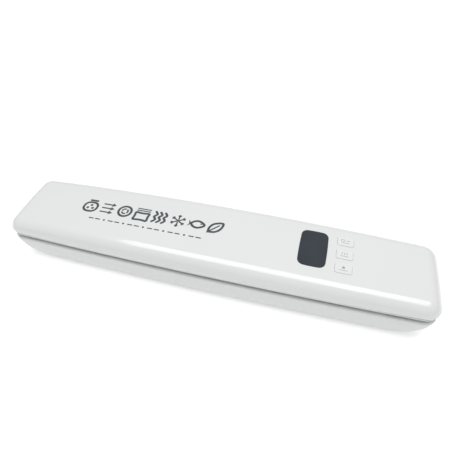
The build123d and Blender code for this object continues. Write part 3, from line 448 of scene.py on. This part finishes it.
def lid_profile(px, py, nx, ny):
    """The cover's section at one place: insets and heights from the crown's edge, round and back inside."""
    ax, ay = px + (CORNER - TOP_R) * nx, py + (CORNER - TOP_R) * ny
    zc = crown_z(ax, ay) - TOP_R
    curl_z = COVER_Z + CURL_R
    rise = curl_z - zc
    if rise > 0:
        c = TOP_R - math.sqrt((TOP_R - CURL_R) ** 2 - rise**2)
        turn = math.atan2(rise, TOP_R - c)
    else:
        c, turn = CURL_R, 0.0
    points = []
    steps = 18
    for k in range(steps + 1):
        t = math.pi / 2 + (turn - math.pi / 2) * k / steps
        points.append((TOP_R - TOP_R * math.cos(t), zc + TOP_R * math.sin(t)))
    steps = 10
    for k in range(1, steps + 1):
        t = turn + (-math.pi / 2 - turn) * k / steps
        points.append((c - CURL_R * math.cos(t), curl_z + CURL_R * math.sin(t)))
    points.append((LEDGE_INSET - 0.25, COVER_Z))
    points.append((LEDGE_INSET, COVER_Z + 0.25))
    points.append((LEDGE_INSET, LEDGE_Z))
    points.append((WALL + 0.9, LEDGE_Z))
    inner_r = TOP_R - WALL
    first = math.asin(max(0.12, (LEDGE_Z + 0.6 - zc) / inner_r))
    steps = 6
    for k in range(steps + 1):
        t = first + (math.pi / 2 - first) * k / steps
        points.append((TOP_R - inner_r * math.cos(t), zc + inner_r * math.sin(t)))
    return points


def build_lid_cover():
    samples, n_long, n_short, n_corner = outline_frame(0, 0, CORNER)
    verts, faces, place = grid_inside(samples, n_long, n_short, n_corner, crown_z)
    profiles = [lid_profile(*s) for s in samples]
    ring = place
    for level in range(len(profiles[0])):
        fresh = []
        for (px, py, nx, ny), profile in zip(samples, profiles):
            inset, z = profile[level]
            fresh.append(len(verts))
            verts.append((px + (CORNER - inset) * nx, py + (CORNER - inset) * ny, z))
        skin_between(faces, ring, fresh)
        ring = fresh
    inside, inside_faces, inside_place = grid_inside(
        samples, n_long, n_short, n_corner, lambda x, y: crown_z(x, y) - WALL)
    base = len(verts)
    verts += inside
    faces += [tuple(v + base for v in reversed(f)) for f in inside_faces]
    skin_between(faces, ring, [v + base for v in inside_place])
    cover = temporary("lid_shell", verts, faces)
    cx, cy, w, h = WINDOW
    seat = bowed_rectangle(cx, cy, w + 0.3, h + 0.3, WINDOW_BOW, WINDOW_CORNER + 0.15)
    hole = bowed_rectangle(cx, cy, w - 3.6, h - 3.6, WINDOW_BOW, WINDOW_CORNER - 1.8)
    tools = [prism(seat, LENS_SEAT_Z, 50), prism(hole, 38, 50)]
    for y in KEY_YS:
        outline = rounded_rectangle(KEY_X, y, KEY_SIZE[0] + 0.3, KEY_SIZE[1] + 0.3, KEY_CORNER + 0.15)
        tools.append(prism(outline, 38, 50))
    for spot in (-100.0, 100.0):
        tools.append(lying_rod((spot - 12.6, spot + 12.6), HINGE_Y, HINGE_Z, 2.9))
    boolean(cover, tools)
    mesh = cover.data
    mesh.materials.append(MATERIALS["gloss_white"])
    mesh.polygons.foreach_set("use_smooth", [True] * len(mesh.polygons))
    mesh.set_sharp_from_angle(angle=math.radians(32))
    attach(cover, "lid")
    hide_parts("lid_cover")
    return cover


build_lid_cover()

# ---------------------------------------------------------------- printed pictograms


def stroke(points, width, closed=False, steps=6):
    """The outline of a line drawn with a round pen."""
    half = width / 2
    left, right = [], []
    count = len(points)
    for k, (x, y) in enumerate(points):
        before = points[k - 1] if closed or k > 0 else None
        after = points[(k + 1) % count] if closed or k < count - 1 else None
        a = before or (x, y)
        b = after or (x, y)
        dx, dy = b[0] - a[0], b[1] - a[1]
        size = math.hypot(dx, dy) or 1
        nx, ny = -dy / size, dx / size
        grow = 1.0
        if before and after:
            ux, uy = x - before[0], y - before[1]
            size = math.hypot(ux, uy) or 1
            grow = 1 / max(0.5, abs((-uy * nx + ux * ny) / size))
        left.append((x + nx * half * grow, y + ny * half * grow))
        right.append((x - nx * half * grow, y - ny * half * grow))
    if closed:
        return left, right
    ends = []
    for (x, y), (tx, ty) in ((points[-1], points[-2]), (points[0], points[1])):
        angle = math.atan2(y - ty, x - tx)
        ends.append([(x + half * math.cos(angle + math.pi / 2 - math.pi * m / steps),
                      y + half * math.sin(angle + math.pi / 2 - math.pi * m / steps))
                     for m in range(1, steps)])
    return left + ends[0] + right[::-1] + ends[1], None


class Print:
    """Ink shapes that lie on the lid's crown, gathered into one piece."""

    def __init__(self, surface_z, lift=0.03, sink=0.05):
        self.verts, self.faces = [], []
        self.surface_z, self.lift, self.sink = surface_z, lift, sink

    def fill(self, points):
        base, n = len(self.verts), len(points)
        self.verts += [(x, y, self.surface_z(x, y) - self.sink) for x, y in points]
        self.verts += [(x, y, self.surface_z(x, y) + self.lift) for x, y in points]
        self.faces.append(tuple(base + k for k in range(n - 1, -1, -1)))
        self.faces.append(tuple(base + n + k for k in range(n)))
        for k in range(n):
            m = (k + 1) % n
            self.faces.append((base + k, base + m, base + n + m, base + n + k))

    def line(self, points, width):
        outline, _ = stroke(points, width)
        self.fill(outline)

    def loop(self, points, width):
        """A closed line, laid as a band of short quads."""
        outer, inner = stroke(points, width, closed=True)
        n = len(points)
        base = len(self.verts)
        for ring, dz in ((outer, self.lift), (inner, self.lift), (inner, -self.sink), (outer, -self.sink)):
            self.verts += [(x, y, self.surface_z(x, y) + dz) for x, y in ring]
        for k in range(n):
            m = (k + 1) % n
            for r in range(4):
                s = (r + 1) % 4
                self.faces.append((base + r * n + k, base + r * n + m, base + s * n + m, base + s * n + k))

    def build(self, name, material, body):
        return finish_mesh(name, self.verts, self.faces, material, body, sharp=40)


def arc(cx, cy, rx, ry, start, stop, steps=20):
    return [(cx + rx * math.cos(math.radians(start + (stop - start) * k / steps)),
             cy + ry * math.sin(math.radians(start + (stop - start) * k / steps))) for k in range(steps + 1)]


def curve(points, steps=6):
    """A Catmull-Rom line through points."""
    result = []
    for k in range(len(points) - 1):
        p0 = points[max(k - 1, 0)]
        p1, p2 = points[k], points[k + 1]
        p3 = points[min(k + 2, len(points) - 1)]
        for m in range(steps):
            t = m / steps
            result.append(tuple(0.5 * (2 * b + (c - a) * t + (2 * a - 5 * b + 4 * c - d) * t * t
                                       + (3 * b - a - 3 * c + d) * t**3)
                                for a, b, c, d in zip(p0, p1, p2, p3)))
    return result + [points[-1]]


PEN = 2.1                # width of the main strokes
FINE_PEN = 1.3           # width of a leaf's vein and a snowflake's arms
MID_Y = 3.4              # middle of the row of pictograms
# Middle of each pictogram along the lid.
BAG_X, AIR_X, PUMP_X, FLAT_BAG_X = -112, -95.5, -79, -62.5
HEAT_X, SNOW_X, FISH_X, LEAF_X = -46, -29.5, -12.5, 3.5
SNOW_ARM = 6.3
SNOW_FORK = 4.0
art = Print(crown_z)


def at(cx, points):
    return [(cx + x, MID_Y + y) for x, y in points]


# A full bag with its mouth tied, and its contents.
art.loop(at(BAG_X, bowed_rectangle(0, -1.3, 12.5, 10.6, 0.9, 2.6, 6)), PEN)
art.line(at(BAG_X, [(-3.2, 6.4), (3.2, 6.4)]), PEN)
for x, y in ((-2.2, -2.8), (2.4, -2.6), (0.2, 0.6)):
    art.fill(at(BAG_X, arc(x, y, 1.25, 1.25, 0, 345, 23)))
# Three arrows for the air drawn off.
for y in (-4.6, 0.0, 4.6):
    art.line(at(AIR_X, [(-5.4, y), (3.0, y)]), 1.4)
    art.fill(at(AIR_X, [(2.6, y - 2.1), (6.4, y), (2.6, y + 2.1)]))
# The pump.
art.loop(at(PUMP_X, arc(0, 0, 5.8, 5.8, 0, 350, 35)), PEN)
for k in range(3):
    a0 = 90 + 120 * k
    art.line(at(PUMP_X, arc(0, 0, 2.7, 2.7, a0, a0 + 75, 8)), 1.5)
# A flattened bag under its seal.
art.loop(at(FLAT_BAG_X, bowed_rectangle(0, -2.6, 12.0, 7.6, -0.9, 2.0, 6)), PEN)
art.line(at(FLAT_BAG_X, [(-6.0, 4.0), (6.0, 4.0)]), 1.2)
art.line(at(FLAT_BAG_X, [(-6.0, 6.2), (6.0, 6.2)]), 1.2)
# Heat.
for x in (-4.4, 0.0, 4.4):
    wave = [(x - 1.1, -5.8), (x + 1.0, -2.9), (x - 1.0, 0.0), (x + 1.0, 2.9), (x - 1.1, 5.8)]
    art.line(at(HEAT_X, curve(wave)), PEN)
# A snowflake.
for k in range(3):
    a = math.radians(30 + 60 * k)
    tip = (SNOW_ARM * math.cos(a), SNOW_ARM * math.sin(a))
    art.line(at(SNOW_X, [(-tip[0], -tip[1]), tip]), FINE_PEN)
for k in range(6):
    a = math.radians(30 + 60 * k)
    for turn in (-0.62, 0.62):
        fork = (SNOW_FORK * math.cos(a), SNOW_FORK * math.sin(a))
        tip = (fork[0] + 2.1 * math.cos(a + turn), fork[1] + 2.1 * math.sin(a + turn))
        art.line(at(SNOW_X, [fork, tip]), 1.0)
# A fish.
body_line = [(-5.6, 0.0), (-3.0, 2.7), (0.6, 3.7), (4.2, 2.3),
             (6.4, 0.0), (4.2, -2.3), (0.6, -3.7), (-3.0, -2.7)]
art.loop(at(FISH_X, curve(body_line + [body_line[0]], 5)[:-1]), PEN)
art.fill(at(FISH_X, [(-4.8, 0.0), (-8.0, 3.6), (-7.0, 0.0), (-8.0, -3.6)]))
art.fill(at(FISH_X, arc(3.4, 0.8, 0.75, 0.75, 0, 340, 16)))
# A leaf.
leaf = [(-5.0, -5.4), (-4.9, -0.6), (-1.8, 3.9), (5.2, 5.6), (4.6, -0.6), (0.6, -4.6)]
art.loop(at(LEAF_X, curve(leaf + [leaf[0]], 5)[:-1]), PEN)
art.line(at(LEAF_X, curve([(-5.6, -6.2), (-1.6, -1.8), (2.6, 2.8)])), FINE_PEN)
art.build("print_pictograms", "print_grey", "lid")

# A fine rule of dashes and dots below them.
rule = Print(crown_z)
for k in range(17):
    x = -106.5 + 6.1 * k
    if k % 3 == 2:
        rule.fill(arc(x + 1.9, -10.2, 0.95, 0.95, 0, 340, 16))
    else:
        rule.line([(x, -10.2), (x + 3.8, -10.2)], 1.1)
rule.build("print_rule", "print_grey", "lid")

# ---------------------------------------------------------------- key legends

for index, (node, y) in enumerate(zip(("vacuum_seal_key", "seal_only_key", "stop_key"), KEY_YS)):
    legend = Print(lambda x, yy: crown_z(x, yy) + 0.2, lift=0.02)
    if index == 0:
        legend.loop(rounded_rectangle(KEY_X - 2.2, y + 1.0, 2.6, 2.0, 0.5, 3), 0.32)
        legend.line([(KEY_X, y + 1.0), (KEY_X + 2.2, y + 1.0)], 0.34)
        legend.fill([(KEY_X + 2.0, y + 0.3), (KEY_X + 3.3, y + 1.0), (KEY_X + 2.0, y + 1.7)])
    elif index == 1:
        for dx in (-1.8, 0.0, 1.8):
            legend.line(curve([(KEY_X + dx - 0.2, y + 0.1), (KEY_X + dx + 0.2, y + 0.8),
                               (KEY_X + dx - 0.2, y + 1.4), (KEY_X + dx + 0.2, y + 2.1)], 4), 0.34)
    else:
        legend.fill(rounded_rectangle(KEY_X, y + 1.0, 2.0, 2.0, 0.3, 3))
    legend.line([(KEY_X - 3.0, y - 1.5), (KEY_X + 3.0, y - 1.5)], 0.42)
    legend.build(f"legend_{node}", "legend_grey", node)

# ---------------------------------------------------------------- camera, floor and light

camera_data = bpy.data.cameras.new("camera")
camera_data.sensor_width = 36.0
camera_data.lens = 28.905
camera_data.clip_start = 0.01
camera = bpy.data.objects.new("camera", camera_data)
camera.location = (0.074427, -0.185757, 0.273928)
camera.rotation_euler = [math.radians(a) for a in (41.2437, 1.7577, 15.3808)]
bpy.context.scene.collection.objects.link(camera)
bpy.context.scene.camera = camera

floor_mesh = bpy.data.meshes.new("floor")
floor_mesh.from_pydata([(-6, -6, 0), (6, -6, 0), (6, 6, 0), (-6, 6, 0)], [], [(0, 1, 2, 3)])
floor = bpy.data.objects.new("floor", floor_mesh)
bpy.context.scene.collection.objects.link(floor)
floor_material = surface("floor_pale", (0.80, 0.80, 0.80), 0.9, spread=0.004, mottle=3, specular=0.0)
floor_bsdf = floor_material.node_tree.nodes["Principled BSDF"]
floor_bsdf.inputs["Emission Color"].default_value = (1, 1, 1, 1)
floor_bsdf.inputs["Emission Strength"].default_value = 0.38
floor_mesh.materials.append(floor_material)

world = bpy.data.worlds.new("studio")
bpy.context.scene.world = world
world.use_nodes = True
world.node_tree.nodes["Background"].inputs["Color"].default_value = (1, 1, 1, 1)
world.node_tree.nodes["Background"].inputs["Strength"].default_value = 0.42
bpy.context.scene.view_settings.view_transform = "Standard"


def area_light(name, location, target, size, power):
    """A soft rectangular lamp that points at a target; metres and watts."""
    data = bpy.data.lights.new(name, "AREA")
    data.shape = "RECTANGLE"
    data.size, data.size_y = size
    data.energy = power
    light = bpy.data.objects.new(name, data)
    light.location = location
    light.rotation_euler = (Vector(target) - Vector(location)).to_track_quat("-Z", "Y").to_euler()
    bpy.context.scene.collection.objects.link(light)


area_light("overhead", (0.0, 0.02, 1.2), (0, 0, 0), (1.4, 0.8), 13.0)
area_light("right_strip", (0.22, -0.05, 0.60), (0.10, -0.02, 0.03), (0.16, 0.05), 0.10)
